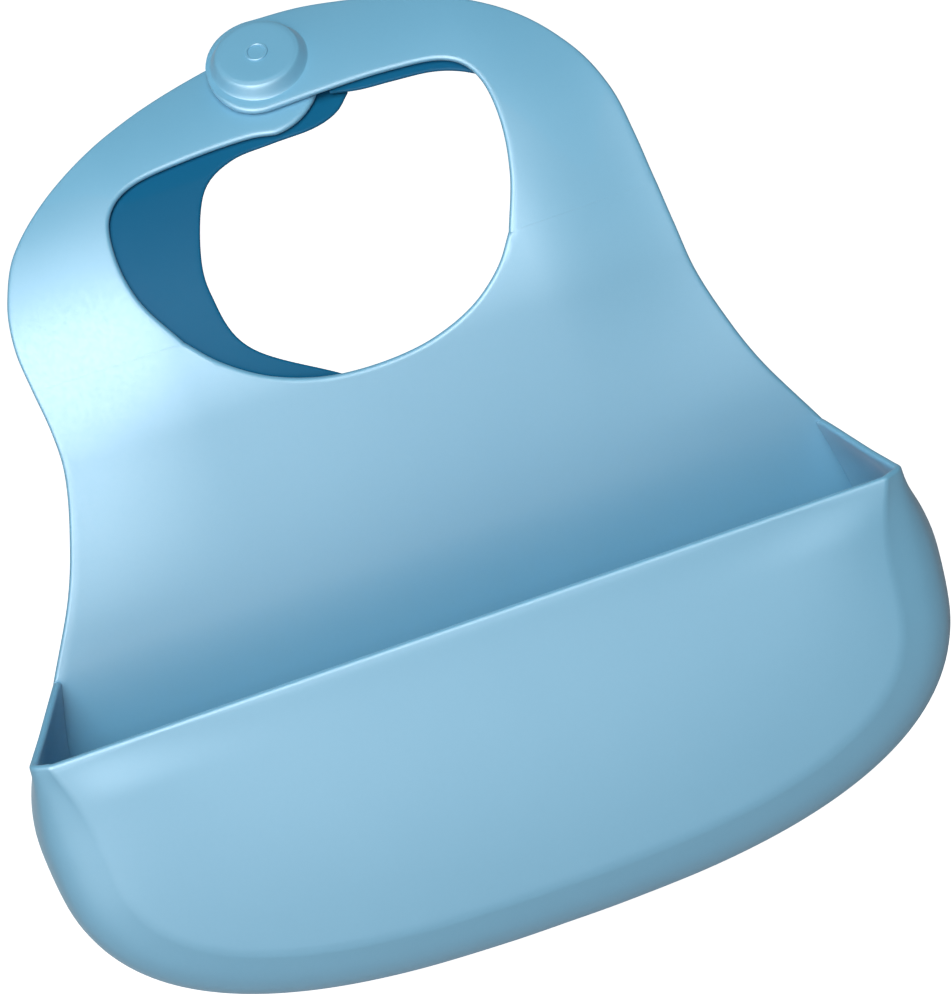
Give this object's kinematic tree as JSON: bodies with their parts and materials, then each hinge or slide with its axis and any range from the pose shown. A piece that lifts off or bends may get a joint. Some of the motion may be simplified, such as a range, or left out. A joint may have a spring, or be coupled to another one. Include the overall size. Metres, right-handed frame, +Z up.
{
  "type": "silicone baby bib",
  "caption": "Soft silicone baby bib with a deep moulded crumb pocket and collar arms that lap behind the neck under a round magnetic button.",
  "frame": {"origin": "centre of the neck opening, on the middle of the silicone sheet", "axes": "+Z up, front of the bib faces -Y, +X to the viewer's right"},
  "size_m": [0.2516, 0.1006, 0.2469],
  "materials": {
    "silicone": "satin, soft powdery sheen",
    "lip_silicone": "satin",
    "magnet_steel": "plated"
  },
  "bodies": {
    "bib": {"chest_panel": "silicone", "crumb_pocket": "silicone"},
    "right_collar": {"right_arm": "silicone", "right_neck_lip": "lip_silicone", "closure_button": "silicone", "button_emblem": "silicone", "button_magnet": "magnet_steel"},
    "left_collar": {"left_arm": "silicone", "left_neck_lip": "lip_silicone", "catch_pad": "silicone", "catch_magnet": "magnet_steel"}
  },
  "joints": [
    {"name": "right_arm_open", "type": "hinge", "parent": "bib", "child": "right_collar", "pos_m": [0, -0.00572, -0.01294], "axis": [1, 0, 0], "range_deg": [0, 65], "stiffness_Nm_per_rad": 0.15, "springref_deg": -8.59},
    {"name": "left_arm_flex", "type": "hinge", "parent": "bib", "child": "left_collar", "pos_m": [0, -0.00328, -0.01354], "axis": [1, 0, 0], "range_deg": [-40, 0], "stiffness_Nm_per_rad": 0.15, "springref_deg": 8.59}
  ]
}
